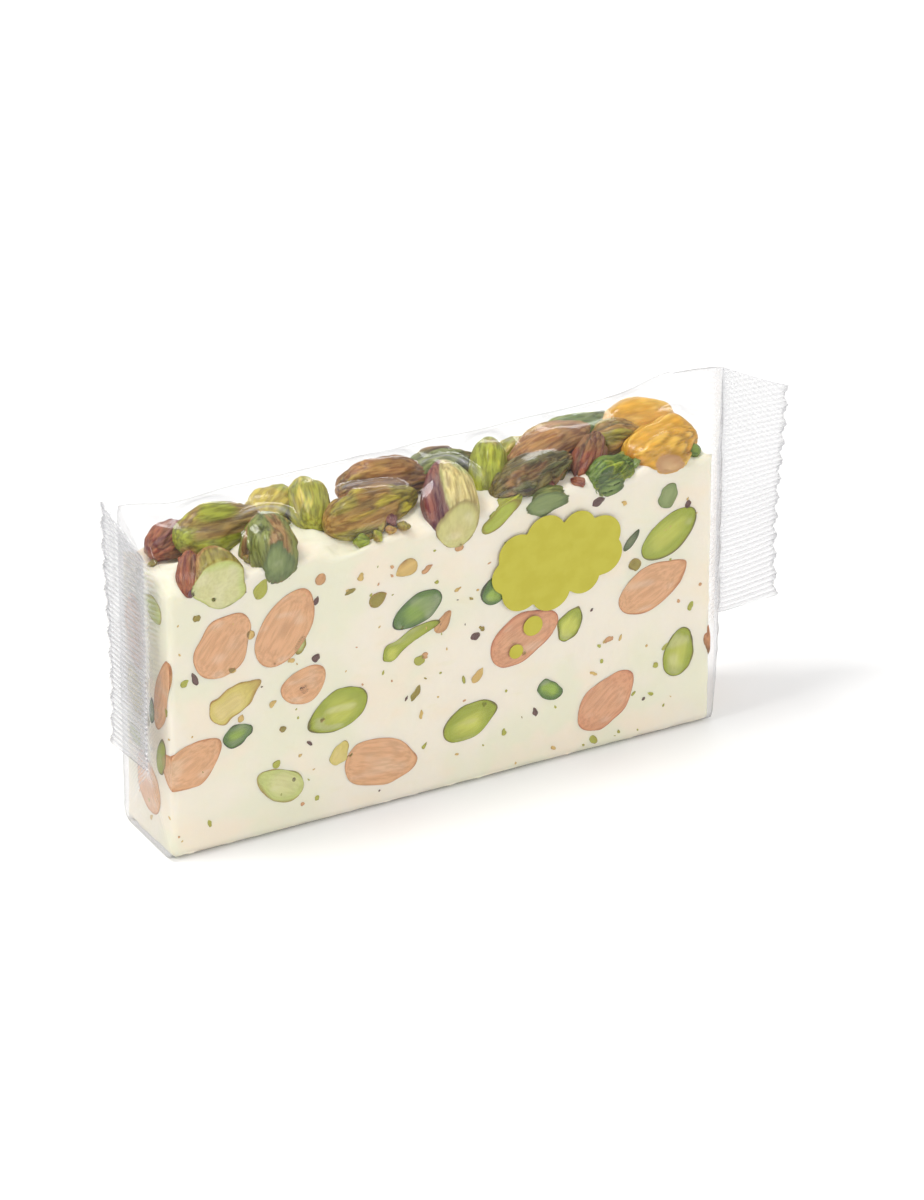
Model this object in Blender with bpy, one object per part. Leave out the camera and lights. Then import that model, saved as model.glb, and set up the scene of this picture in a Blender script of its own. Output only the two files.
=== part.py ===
"""A bar of nut nougat sealed in clear flow-wrap film, as one closed solid.

The wrap stands on its flat bottom with the bar's cut side facing -Y. It follows the bar as a
rounded box whose top climbs from the front edge over the nuts to a crest at the back. At each
end a gusset draws the film in to an upright crimped fin with a zigzag-cut edge. The right fin
stands straight out along +X. The left fin is folded back against the bar's end, where it rises
towards its outer edge. A lap seam runs along the back.

Metres, +Z up. The origin is at the centre of the box's bottom, so the bar stands on the ground.
"""

import math

import bmesh
import bpy

MM = 0.001

# The wrap round the bar
BODY_LENGTH = 101.0 * MM
BODY_DEPTH = 17.6 * MM
FRONT_HEIGHT = 51.0 * MM
SHOULDER_HEIGHT = 55.2 * MM
SHOULDER_SHARE = 0.34
CREST_HEIGHT = 56.6 * MM
CORNER_CUT = 1.0 * MM
NUT_BUMP = 0.5 * MM
NUT_BUMP_PITCH_X = 13.0 * MM
NUT_BUMP_PITCH_Y = 9.0 * MM
NUT_BUMP_SLANT = 60.0

# The lap seam down the back, halfway up
SEAM_LOW = 20.0 * MM
SEAM_HIGH = 30.0 * MM
SEAM_RELIEF = 0.5 * MM

# The gussets that draw the film in at both ends
RIGHT_GUSSET = 6.0 * MM
LEFT_GUSSET = 1.6 * MM
LEFT_GUSSET_SHIFT = -4.0 * MM
GUSSET_STEPS = 5

# The crimped fins
FIN_WIDTH = 11.6 * MM
FIN_THICKNESS = 0.8 * MM
FIN_LOW = 15.0 * MM
RIGHT_FIN_ROOT_TOP = 60.6 * MM
RIGHT_FIN_EDGE_TOP = 54.6 * MM
LEFT_FIN_ROOT_TOP = 53.0 * MM
LEFT_FIN_EDGE_TOP = 58.5 * MM
FIN_STEPS = 4
TOOTH_DEPTH = 0.9 * MM
RIGHT_FIN_TURN = math.radians(3.0)
LEFT_FIN_TURN = math.radians(85.0)

# How finely the loops are divided
BODY_STEPS = 24
TEETH = 11
SIDE_STEPS = 2 * TEETH
SIDE_MARGIN = 0.02
TOP_STEPS = 8
BOTTOM_STEPS = 4

FILM_COLOUR = (0.86, 0.84, 0.76, 1.0)
FILM_ROUGHNESS = 0.25


def blend(a, b, t):
    """The value a share t of the way from a to b."""
    return a + (b - a) * t


def shoulder_rise(across):
    """How far the film has risen from the front edge to the crest, as a share from 0 to 1.

    It climbs steeply over the front row of nuts to the shoulder, and then slowly to the back.
    """
    shoulder = (SHOULDER_HEIGHT - FRONT_HEIGHT) / (CREST_HEIGHT - FRONT_HEIGHT)
    if across < SHOULDER_SHARE:
        return shoulder * math.sin(0.5 * math.pi * across / SHOULDER_SHARE)
    return blend(shoulder, 1.0, (across - SHOULDER_SHARE) / (1.0 - SHOULDER_SHARE))


def nut_bump(x, across):
    """How far the film rises or sinks over the nuts at x, a share across from front to back."""
    along_wave = math.sin(2.0 * math.pi * x / NUT_BUMP_PITCH_X)
    phase = 2.0 * math.pi * across * BODY_DEPTH / NUT_BUMP_PITCH_Y + NUT_BUMP_SLANT * x
    depth_wave = math.cos(phase)
    return NUT_BUMP * along_wave * depth_wave * math.sin(math.pi * across)


def section(centre, heading, half_depth, low, front_top, back_top, body_share, teeth):
    """One closed loop of points round the wrap, front side first and then over the top.

    centre is where the loop stands on the ground plane, heading the way the wrap runs there,
    and body_share is 1 round the bar and 0 on a fin. teeth pushes every other point of the
    sides out along the heading.
    """
    along = (math.cos(heading), math.sin(heading))
    back = (-along[1], along[0])

    def point(offset, height, push=0.0):
        return (
            centre[0] + back[0] * offset + along[0] * push,
            centre[1] + back[1] * offset + along[1] * push,
            height,
        )

    cut = CORNER_CUT * body_share
    inner = [blend(SIDE_MARGIN, 1.0 - SIDE_MARGIN, i / SIDE_STEPS) for i in range(SIDE_STEPS + 1)]
    shares = [0.0] + inner + [1.0]
    front, rear = [], []
    for i, share in enumerate(shares):
        inset = cut if i in (0, len(shares) - 1) else 0.0
        push = teeth if i % 2 else 0.0
        front_z = blend(low, front_top, share)
        back_z = blend(low, back_top, share)
        in_seam = SEAM_LOW < back_z < SEAM_HIGH
        relief = SEAM_RELIEF * body_share if in_seam else 0.0
        front.append(point(-half_depth + inset, front_z, push))
        rear.append(point(half_depth - inset + relief, back_z, push))

    reach = half_depth - cut
    top, bottom = [], []
    for i in range(1, TOP_STEPS):
        share = i / TOP_STEPS
        rise = blend(share, shoulder_rise(share), body_share)
        height = blend(front_top, back_top, rise) + nut_bump(centre[0], share) * body_share
        top.append(point(blend(-reach, reach, share), height))
    for i in range(1, BOTTOM_STEPS):
        bottom.append(point(blend(reach, -reach, i / BOTTOM_STEPS), low))
    return front + top + rear[::-1] + bottom


def end_sections(side):
    """The loops of one end, from the bar outwards: side is 1 for the right and -1 for the left."""
    gusset = RIGHT_GUSSET if side > 0 else LEFT_GUSSET
    shift = 0.0 if side > 0 else LEFT_GUSSET_SHIFT
    turn = RIGHT_FIN_TURN if side > 0 else LEFT_FIN_TURN
    root_top = RIGHT_FIN_ROOT_TOP if side > 0 else LEFT_FIN_ROOT_TOP
    edge_top = RIGHT_FIN_EDGE_TOP if side > 0 else LEFT_FIN_EDGE_TOP
    half_body, half_fin = BODY_DEPTH / 2.0, FIN_THICKNESS / 2.0
    loops = []

    for i in range(1, GUSSET_STEPS + 1):
        t = i / GUSSET_STEPS
        x = side * (BODY_LENGTH / 2.0 + gusset * t)
        half_depth = blend(half_body, half_fin, t)
        low = blend(0.0, FIN_LOW, t)
        front_top = blend(FRONT_HEIGHT, root_top, t)
        back_top = blend(CREST_HEIGHT, root_top, t)
        loops.append(section((x, shift * t), 0.0, half_depth, low, front_top, back_top, 1.0 - t, 0.0))

    # The fin runs outwards and, as far as it is turned, towards the back.
    for i in range(1, FIN_STEPS + 1):
        t = i / FIN_STEPS
        x = side * (BODY_LENGTH / 2.0 + gusset + math.cos(turn) * FIN_WIDTH * t)
        y = shift + math.sin(turn) * FIN_WIDTH * t
        top = blend(root_top, edge_top, t)
        teeth = side * TOOTH_DEPTH if i == FIN_STEPS else 0.0
        loops.append(section((x, y), side * turn, half_fin, FIN_LOW, top, top, 0.0, teeth))
    return loops


def body_sections():
    """The loops round the bar itself, from left to right."""
    loops = []
    for i in range(BODY_STEPS + 1):
        x = blend(-BODY_LENGTH / 2.0, BODY_LENGTH / 2.0, i / BODY_STEPS)
        loops.append(section((x, 0.0), 0.0, BODY_DEPTH / 2.0, 0.0, FRONT_HEIGHT, CREST_HEIGHT, 1.0, 0.0))
    return loops


def close_end(bm, ring):
    """Shuts a fin's outer edge with one face for each step up its sides."""
    count = SIDE_STEPS + 3
    front = ring[:count]
    rear = ring[count + TOP_STEPS - 1 : 2 * count + TOP_STEPS - 1][::-1]
    top = ring[count : count + TOP_STEPS - 1]
    bottom = ring[2 * count + TOP_STEPS - 1 :]
    for i in range(count - 1):
        bm.faces.new((front[i], front[i + 1], rear[i + 1], rear[i]))
    bm.faces.new([front[-1]] + top + [rear[-1]])
    bm.faces.new([rear[0]] + bottom + [front[0]])


def film_material():
    """Clear film over pale nougat, as one even colour."""
    material = bpy.data.materials.new("film_over_nougat")
    material.use_nodes = True
    shader = material.node_tree.nodes["Principled BSDF"]
    shader.inputs["Base Color"].default_value = FILM_COLOUR
    shader.inputs["Roughness"].default_value = FILM_ROUGHNESS
    shader.inputs["Metallic"].default_value = 0.0
    return material


def build_film_pack():
    """The sealed wrap as one closed solid, standing centred on the origin."""
    loops = end_sections(-1)[::-1] + body_sections() + end_sections(1)
    xs = [p[0] for loop in loops for p in loop]
    ys = [p[1] for loop in loops for p in loop]
    shift_x = (min(xs) + max(xs)) / 2.0
    shift_y = (min(ys) + max(ys)) / 2.0

    bm = bmesh.new()
    rings = [[bm.verts.new((x - shift_x, y - shift_y, z)) for x, y, z in loop] for loop in loops]
    for ring, following in zip(rings, rings[1:]):
        for i in range(len(ring)):
            j = (i + 1) % len(ring)
            bm.faces.new((ring[i], ring[j], following[j], following[i]))
    close_end(bm, rings[0])
    close_end(bm, rings[-1])
    bmesh.ops.recalc_face_normals(bm, faces=bm.faces)

    mesh = bpy.data.meshes.new("film_pack")
    bm.to_mesh(mesh)
    bm.free()
    mesh.materials.append(film_material())
    pack = bpy.data.objects.new("film_pack", mesh)
    bpy.context.scene.collection.objects.link(pack)
    return pack


def main():
    for old in list(bpy.data.objects):
        bpy.data.objects.remove(old, do_unlink=True)
    build_film_pack()


main()
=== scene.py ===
import math

import bpy
import numpy as np
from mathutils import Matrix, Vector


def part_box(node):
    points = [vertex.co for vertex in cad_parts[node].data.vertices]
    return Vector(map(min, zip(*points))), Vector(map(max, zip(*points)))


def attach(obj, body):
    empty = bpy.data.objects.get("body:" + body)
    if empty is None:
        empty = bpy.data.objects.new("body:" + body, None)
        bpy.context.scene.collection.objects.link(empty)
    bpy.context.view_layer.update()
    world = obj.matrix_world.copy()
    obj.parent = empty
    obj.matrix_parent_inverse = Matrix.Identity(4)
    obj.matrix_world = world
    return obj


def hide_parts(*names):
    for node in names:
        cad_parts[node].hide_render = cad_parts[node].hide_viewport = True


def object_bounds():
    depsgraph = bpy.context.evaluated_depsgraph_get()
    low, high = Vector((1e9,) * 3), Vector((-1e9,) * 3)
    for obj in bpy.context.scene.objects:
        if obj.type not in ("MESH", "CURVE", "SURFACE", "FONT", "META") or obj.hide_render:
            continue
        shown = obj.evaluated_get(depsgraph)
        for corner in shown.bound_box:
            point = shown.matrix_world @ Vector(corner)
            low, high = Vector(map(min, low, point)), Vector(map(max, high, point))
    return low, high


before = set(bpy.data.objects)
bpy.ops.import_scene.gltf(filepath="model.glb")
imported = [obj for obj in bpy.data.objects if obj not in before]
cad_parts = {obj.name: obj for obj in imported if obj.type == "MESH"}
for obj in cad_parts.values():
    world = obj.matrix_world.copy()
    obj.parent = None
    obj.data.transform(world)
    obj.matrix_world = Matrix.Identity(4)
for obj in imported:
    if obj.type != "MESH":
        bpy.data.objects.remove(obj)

# Looks of the wrapped nougat bar. All shapes are worked out in millimetres from the middle of the
# bar's bottom: x along the bar to the right, y from front to back, z up.

MM = 0.001
CAD_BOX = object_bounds()
LOW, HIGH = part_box("film_pack")

# The wrap's sizes, as in the CAD
BODY_LENGTH = 101.0
BODY_DEPTH = 17.6
FRONT_HEIGHT = 51.0
SHOULDER_HEIGHT = 55.2
SHOULDER_SHARE = 0.34
CREST_HEIGHT = 56.6
SEAM_LOW = 20.0
SEAM_HIGH = 30.0
RIGHT_GUSSET = 6.0
LEFT_GUSSET = 1.6
LEFT_GUSSET_SHIFT = -4.0
FIN_WIDTH = 11.6
FIN_LOW = 15.0
RIGHT_FIN_ROOT_TOP = 60.6
RIGHT_FIN_EDGE_TOP = 54.6
LEFT_FIN_ROOT_TOP = 53.0
LEFT_FIN_EDGE_TOP = 58.5
TOOTH_DEPTH = 0.9
TEETH = 11
RIGHT_FIN_TURN = math.radians(3.0)
LEFT_FIN_TURN = math.radians(85.0)
RIGHT_REACH = BODY_LENGTH / 2 + RIGHT_GUSSET + math.cos(RIGHT_FIN_TURN) * (FIN_WIDTH + TOOTH_DEPTH)

# Where the bar's own zero point is in the frame, in metres
ORIGIN = np.array([HIGH[0] - RIGHT_REACH * MM, LOW[1] + BODY_DEPTH / 2 * MM, LOW[2]])

# The nougat slab
SLAB_LENGTH = 100.0
SLAB_DEPTH = 16.8
SLAB_LOW = 0.25
SLAB_TOP = 48.8
SLAB_STEP = 0.6
EDGE_CUT = 0.28
PROUD = 0.05

# How deep under a cut face the middle of a sliced nut or crumb lies
SECTION_SINK = 0.2
SPECK_SINK = 0.1

# How many crumbs and nuts are strewn by chance, and how far apart the back's nuts keep
ALMOND_SHARE = 0.45
NUT_TRIES = 400
NUT_SPACING = 11.5
FACE_CRUMBS = 130
END_CRUMBS = 24
LOOSE_BITS = 34

LATTICE = np.random.default_rng(11).uniform(-1.0, 1.0, (24, 24, 24))


def srgb(red, green, blue):
    """A display colour from 0 to 255 as linear light from 0 to 1."""
    c = np.array([red, green, blue]) / 255.0
    return np.where(c <= 0.04045, c / 12.92, ((c + 0.055) / 1.055) ** 2.4)


def noise(points, size, seed=0.0):
    """Smooth noise from about -1 to 1 at points (n, 3); size is its grain along each axis."""
    q = np.asarray(points, float) / np.asarray(size, float)
    q = q + seed * np.array([3.17, 5.71, 1.93])
    cell = np.floor(q).astype(int)
    f = q - cell
    f = f * f * (3.0 - 2.0 * f)
    total = np.zeros(len(q))
    for corner in range(8):
        step = np.array([corner & 1, corner >> 1 & 1, corner >> 2 & 1])
        weight = np.prod(np.where(step, f, 1.0 - f), axis=1)
        i = (cell + step) % len(LATTICE)
        total += weight * LATTICE[i[:, 0], i[:, 1], i[:, 2]]
    return total


def ramp(value, low, high):
    """0 below low and 1 above high, with a gentle start and end."""
    t = np.clip((value - low) / (high - low), 0.0, 1.0)
    return t * t * (3.0 - 2.0 * t)


def mix(a, b, share):
    """Colours a and b mixed at each point by a share from 0 to 1."""
    share = np.asarray(share)[:, None]
    return a * (1.0 - share) + b * share


def flat_points(x, y, z):
    """Arrays of coordinates as rows of points."""
    x, y, z = np.broadcast_arrays(x, y, z)
    return np.stack([x.ravel(), y.ravel(), z.ravel()], axis=1)


def tube(rings, count, first=0):
    """Faces that join rings of count points each, the first point being number first."""
    faces = []
    for i in range(rings - 1):
        for j in range(count):
            a, b = first + i * count + j, first + i * count + (j + 1) % count
            faces.append((a, a + count, b + count, b))
    return faces


def add_piece(name, points, faces, material, tint=None, marks=None):
    """tint is a colour for each point, and marks holds names with a number or three for each point.
    """
    mesh = bpy.data.meshes.new(name)
    mesh.from_pydata((ORIGIN + np.asarray(points) * MM).tolist(), [], faces)
    if tint is not None:
        layer = mesh.color_attributes.new("tint", "FLOAT_COLOR", "POINT")
        rgba = np.ones((len(points), 4), np.float32)
        rgba[:, :3] = np.clip(tint, 0.0, 1.0)
        layer.data.foreach_set("color", rgba.ravel())
    for mark, values in (marks or {}).items():
        kind, field = ("FLOAT_VECTOR", "vector") if np.ndim(values) == 2 else ("FLOAT", "value")
        layer = mesh.attributes.new(mark, kind, "POINT")
        layer.data.foreach_set(field, np.asarray(values, np.float32).ravel())
    mesh.shade_smooth()
    mesh.validate()
    mesh.materials.append(material)
    piece = bpy.data.objects.new(name, mesh)
    bpy.context.scene.collection.objects.link(piece)
    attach(piece, "root")
    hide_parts("film_pack")


# ---------------------------------------------------------------- materials


class Shader:
    """A node material, with short ways to add and join nodes."""

    def __init__(self, name):
        self.material = bpy.data.materials.new(name)
        self.material.use_nodes = True
        self.tree = self.material.node_tree
        self.nodes = self.tree.nodes
        self.surface = self.nodes["Principled BSDF"]
        self.output = self.nodes["Material Output"]

    def add(self, kind, **settings):
        node = self.nodes.new(kind)
        for key, value in settings.items():
            setattr(node, key, value)
        return node

    def join(self, source, target):
        """Feeds a socket from another one, or sets it to a value."""
        if isinstance(source, bpy.types.NodeSocket):
            self.tree.links.new(source, target)
        else:
            target.default_value = source

    def fill(self, node, values):
        """Feeds or sets several of a node's inputs, given by name."""
        for key, value in values.items():
            self.join(value, node.inputs[key])

    def grain(self, size_mm, detail=3.0, stretch=None, along=None):
        """Noise of a grain size in mm that stays with the object, or with its own marks in mm."""
        place = along or self.add("ShaderNodeTexCoord").outputs["Object"]
        if stretch:
            scaled = self.add("ShaderNodeMapping")
            self.fill(scaled, {"Vector": place, "Scale": stretch})
            place = scaled.outputs["Vector"]
        node = self.add("ShaderNodeTexNoise")
        scale = 1.0 / size_mm if along else 1.0 / (size_mm * MM)
        self.fill(node, {"Vector": place, "Scale": scale, "Detail": detail})
        return node.outputs["Fac"]

    def spread(self, value, low, high, to_low=0.0, to_high=1.0):
        """value from low to high becomes to_low to to_high."""
        node = self.add("ShaderNodeMapRange", interpolation_type="SMOOTHSTEP")
        self.fill(node, {"Value": value, "From Min": low, "From Max": high})
        self.fill(node, {"To Min": to_low, "To Max": to_high})
        return node.outputs["Result"]

    def colours(self, share, first, second, way="MIX"):
        """Two colours, or sockets, mixed by a socket from 0 to 1, or by a number."""
        node = self.add("ShaderNodeMix", data_type="RGBA", blend_type=way)
        self.join(share, node.inputs[0])
        for value, key in ((first, 6), (second, 7)):
            fed = isinstance(value, bpy.types.NodeSocket)
            self.join(value if fed else (*value, 1.0), node.inputs[key])
        return node.outputs[2]

    def attribute(self, name, output="Color"):
        return self.add("ShaderNodeAttribute", attribute_name=name).outputs[output]

    def sums(self, operation, a, b):
        node = self.add("ShaderNodeMath", operation=operation)
        self.join(a, node.inputs[0])
        self.join(b, node.inputs[1])
        return node.outputs[0]

    def blended(self, share, first, second):
        """Two shader nodes mixed by a socket from 0 to 1."""
        node = self.add("ShaderNodeMixShader")
        for key, source in enumerate((share, first.outputs[0], second.outputs[0])):
            self.join(source, node.inputs[key])
        return node

    def relief(self, height, depth_mm, strength=1.0, below=None):
        """A bump of a depth in mm, on top of the bump below it."""
        node = self.add("ShaderNodeBump")
        self.fill(node, {"Distance": depth_mm * MM, "Strength": strength, "Height": height})
        if below:
            self.join(below, node.inputs["Normal"])
        return node.outputs["Normal"]


def nougat_material():
    """Cream nougat: a little see-through, with pale green clouds and fine pores."""
    s = Shader("nougat")
    cream = srgb(245, 236, 219)
    green = srgb(238, 235, 211)
    warm = srgb(247, 234, 213)
    clouds = s.spread(s.grain(17.0, 2.0), 0.42, 0.62)
    warm_clouds = s.spread(s.grain(11.0, 2.0, (1.0, 1.0, 1.4)), 0.5, 0.7)
    colour = s.colours(clouds, cream, green)
    colour = s.colours(warm_clouds, colour, warm)
    veins = s.spread(s.grain(4.0, 4.0, (0.6, 1.0, 1.8)), 0.60, 0.75, 0.0, 0.35)
    colour = s.colours(veins, colour, srgb(238, 231, 199))
    lumps = s.relief(s.grain(2.6, 4.0), 0.25, 0.6)
    s.fill(s.surface, {
        "Base Color": colour,
        "Roughness": s.spread(s.grain(2.0), 0.3, 0.7, 0.48, 0.66),
        "Subsurface Weight": 0.45,
        "Subsurface Scale": 1.6 * MM,
        "Subsurface Radius": (1.0, 0.85, 0.6),
        "Specular IOR Level": 0.35,
        "Normal": s.relief(s.grain(0.5, 3.0), 0.06, 0.5, lumps),
    })
    return s.material


def nut_material(name, sheen_low, sheen_high, streaks, cut_streaks, relief_mm):
    """A nut coloured by its mesh, with streaks along its skin and a faint grain where cut; the streaks
    follow the fine relief, darker in its lows as painted shade and paler on its highs.
    """
    s = Shader(name)
    along = s.attribute("grain", "Vector")
    skin = s.sums("SUBTRACT", 1.0, s.attribute("cut", "Fac"))
    fine = s.grain(0.55, 4.0, along=along)
    broad = s.grain(1.5, 3.0, along=along)
    tint = s.attribute("tint")
    # Painted shade: this darker colour goes in the lows of the fine relief, the paler one on its highs.
    dark = s.colours(1.0, tint, srgb(186, 168, 126), "MULTIPLY")
    light = s.colours(0.14, tint, srgb(244, 222, 140))
    relief_streaks_with_painted_shade = s.colours(s.spread(fine, 0.36, 0.62), dark, light)
    shown = s.sums("ADD", s.sums("MULTIPLY", skin, streaks), cut_streaks)
    deep = s.relief(broad, relief_mm * 2.0, s.sums("MULTIPLY", skin, 0.8))
    strength = s.sums("ADD", s.sums("MULTIPLY", skin, 0.7), 0.15)
    s.fill(s.surface, {
        "Base Color": s.colours(shown, tint, relief_streaks_with_painted_shade),
        "Roughness": s.spread(broad, 0.35, 0.65, sheen_low, sheen_high),
        "Subsurface Weight": 0.12,
        "Subsurface Scale": 0.8 * MM,
        "Normal": s.relief(fine, relief_mm, strength, deep),
    })
    return s.material


def film_material():
    """Thin clear film: it mirrors at its surface and is a little hazy, more so where crimped, and a line of
    extra haze at each fin's root is a painted crease highlight.
    """
    s = Shader("clear_film")
    s.nodes.remove(s.surface)
    facing = s.add("ShaderNodeLayerWeight")
    slant = facing.outputs["Facing"]
    clear = s.add("ShaderNodeBsdfTransparent")
    thick = s.sums("POWER", slant, 2.5)
    s.join(s.colours(thick, (0.975, 0.975, 0.975), (0.62, 0.62, 0.63)), clear.inputs["Color"])
    haze = s.add("ShaderNodeBsdfPrincipled")
    gloss = s.add("ShaderNodeBsdfGlossy")
    soft = s.relief(s.grain(6.0, 2.0, (1.0, 1.0, 0.7)), 0.3, 0.5)
    fine = s.relief(s.grain(1.6, 2.0), 0.05, 0.35, soft)
    s.fill(facing, {"Blend": 0.5, "Normal": fine})
    s.fill(haze, {"Base Color": (0.78, 0.78, 0.80, 1.0), "Roughness": 0.3, "Normal": fine})
    s.fill(gloss, {"Color": (0.95, 0.95, 0.97, 1.0), "Roughness": 0.09, "Normal": fine})

    edge = s.sums("MULTIPLY", s.sums("POWER", slant, 4.5), 0.5)
    clouds = s.spread(s.grain(9.0, 3.0), 0.4, 0.7, 0.0, 0.012)
    # Crimp haze from the mesh's mark, which also carries the painted crease highlight at each fin's root.
    crimp_haze_and_crease_highlight = s.sums("MULTIPLY", s.attribute("crimp_haze_and_crease_highlight", "Fac"), 0.17)
    hazy = s.sums("ADD", s.sums("ADD", edge, clouds), crimp_haze_and_crease_highlight)
    mirrored = s.sums("ADD", s.sums("MULTIPLY", s.sums("POWER", slant, 5.0), 0.6), 0.022)
    whole = s.blended(mirrored, s.blended(hazy, clear, haze), gloss)
    s.join(whole.outputs[0], s.output.inputs["Surface"])
    return s.material


def print_material():
    """Opaque olive-lime ink on the film."""
    s = Shader("print_ink")
    ink, thin_ink = srgb(184, 175, 46), srgb(190, 182, 56)
    s.fill(s.surface, {
        "Base Color": s.colours(s.spread(s.grain(3.0), 0.35, 0.65), ink, thin_ink),
        "Roughness": s.spread(s.grain(0.8), 0.3, 0.7, 0.35, 0.45),
        "Normal": s.relief(s.grain(5.0, 2.0), 0.2, 0.4),
    })
    return s.material


# ---------------------------------------------------------------- the nougat slab


def front_wave(x, z):
    """How far the cut front and back swell out or sink, in mm."""
    at = flat_points(x, 0.0, z)
    return 0.10 * noise(at, (13.0, 9.0, 11.0), 2.0) + 0.05 * noise(at, (4.5, 4.0, 5.0), 3.0)


def slab_top(x, y):
    """Height of the nougat's soft, lumpy top."""
    at = flat_points(x, y, 0.0)
    at[:, 0] = np.clip(at[:, 0], -SLAB_LENGTH / 2.0, SLAB_LENGTH / 2.0)
    height = SLAB_TOP + 1.9 * noise(at, (10.0, 9.0, 9.0), 5.0) + 1.3 * noise(at, (4.2, 4.2, 4.0), 6.0)
    height += 0.5 * noise(at, (1.7, 1.7, 2.0), 7.0)
    height += 0.9 * ramp(at[:, 1], -8.0, -3.0)
    height -= 1.6 * ramp(-at[:, 0], 42.0, 49.0)
    height -= 1.8 * np.exp(-(((at[:, 0] + 18.5) / 5.0) ** 2)) * ramp(-at[:, 1], 1.0, 7.0)
    return height


def build_slab(material):
    """The slab as a closed box of small faces, its top raised to slab_top and its edges eased."""
    counts = [round(size / SLAB_STEP) for size in (SLAB_LENGTH, SLAB_DEPTH, SLAB_TOP)]
    nx, ny, nz = counts
    index, cells = {}, []

    def node(i, j, k):
        key = (i, j, k)
        if key not in index:
            index[key] = len(cells)
            cells.append(key)
        return index[key]

    faces = []
    sides = ((0, 1, 2, nx, ny, nz), (1, 2, 0, ny, nz, nx), (2, 0, 1, nz, nx, ny))
    for fixed, a, b, limit, count_a, count_b in sides:
        for end in (0, limit):
            for i in range(count_a):
                for j in range(count_b):
                    ring = []
                    for da, db in ((0, 0), (1, 0), (1, 1), (0, 1)):
                        key = [0, 0, 0]
                        key[fixed], key[a], key[b] = end, i + da, j + db
                        ring.append(node(*key))
                    faces.append(ring if end else ring[::-1])

    share = np.array(cells) / np.array(counts)
    x = (share[:, 0] - 0.5) * SLAB_LENGTH
    y = (share[:, 1] - 0.5) * SLAB_DEPTH
    top = slab_top(x, y)
    z = SLAB_LOW + (top - SLAB_LOW) * share[:, 2]
    on_x = np.isin(share[:, 0], (0.0, 1.0))
    on_y = np.isin(share[:, 1], (0.0, 1.0))
    on_z = np.isin(share[:, 2], (0.0, 1.0))
    wave = front_wave(x, z)
    y = y + np.where(on_y, np.sign(y) * wave, 0.0)
    x = x + np.where(on_x, np.sign(x) * front_wave(y, z), 0.0)
    ragged = 1.0 + 0.8 * noise(flat_points(x, y, z), (1.7, 1.7, 1.7), 8.0)
    x = x - np.where(on_x & (on_y | on_z), np.sign(x) * EDGE_CUT * ragged, 0.0)
    y = y - np.where(on_y & (on_x | on_z), np.sign(y) * EDGE_CUT * ragged, 0.0)
    rim_up = on_z & (on_x | on_y)
    z = z - np.where(rim_up, np.where(share[:, 2] > 0.5, 1.0, -1.0) * EDGE_CUT * ragged, 0.0)
    add_piece("nougat_slab", flat_points(x, y, z), faces, material)


# ---------------------------------------------------------------- nuts

# Skin and flesh colours from 0 to 255, as the display shows them
TAN = (190, 142, 92)
BROWN = (134, 88, 52)
PURPLE = (96, 40, 66)
DARK = (60, 44, 34)
OLIVE = (148, 136, 44)
LIME = (172, 184, 58)
YELLOW = (212, 192, 74)
GREEN = (112, 142, 44)
DEEP_GREEN = (62, 86, 44)
GREY_GREEN = (134, 142, 104)
PALE_GREEN = (190, 198, 128)
PALE_YELLOW = (222, 206, 138)
PALE_GOLD = (240, 200, 104)
ALMOND = (226, 172, 128)
ALMOND_EDGE = (200, 136, 92)
CREAM = (240, 232, 212)

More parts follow.
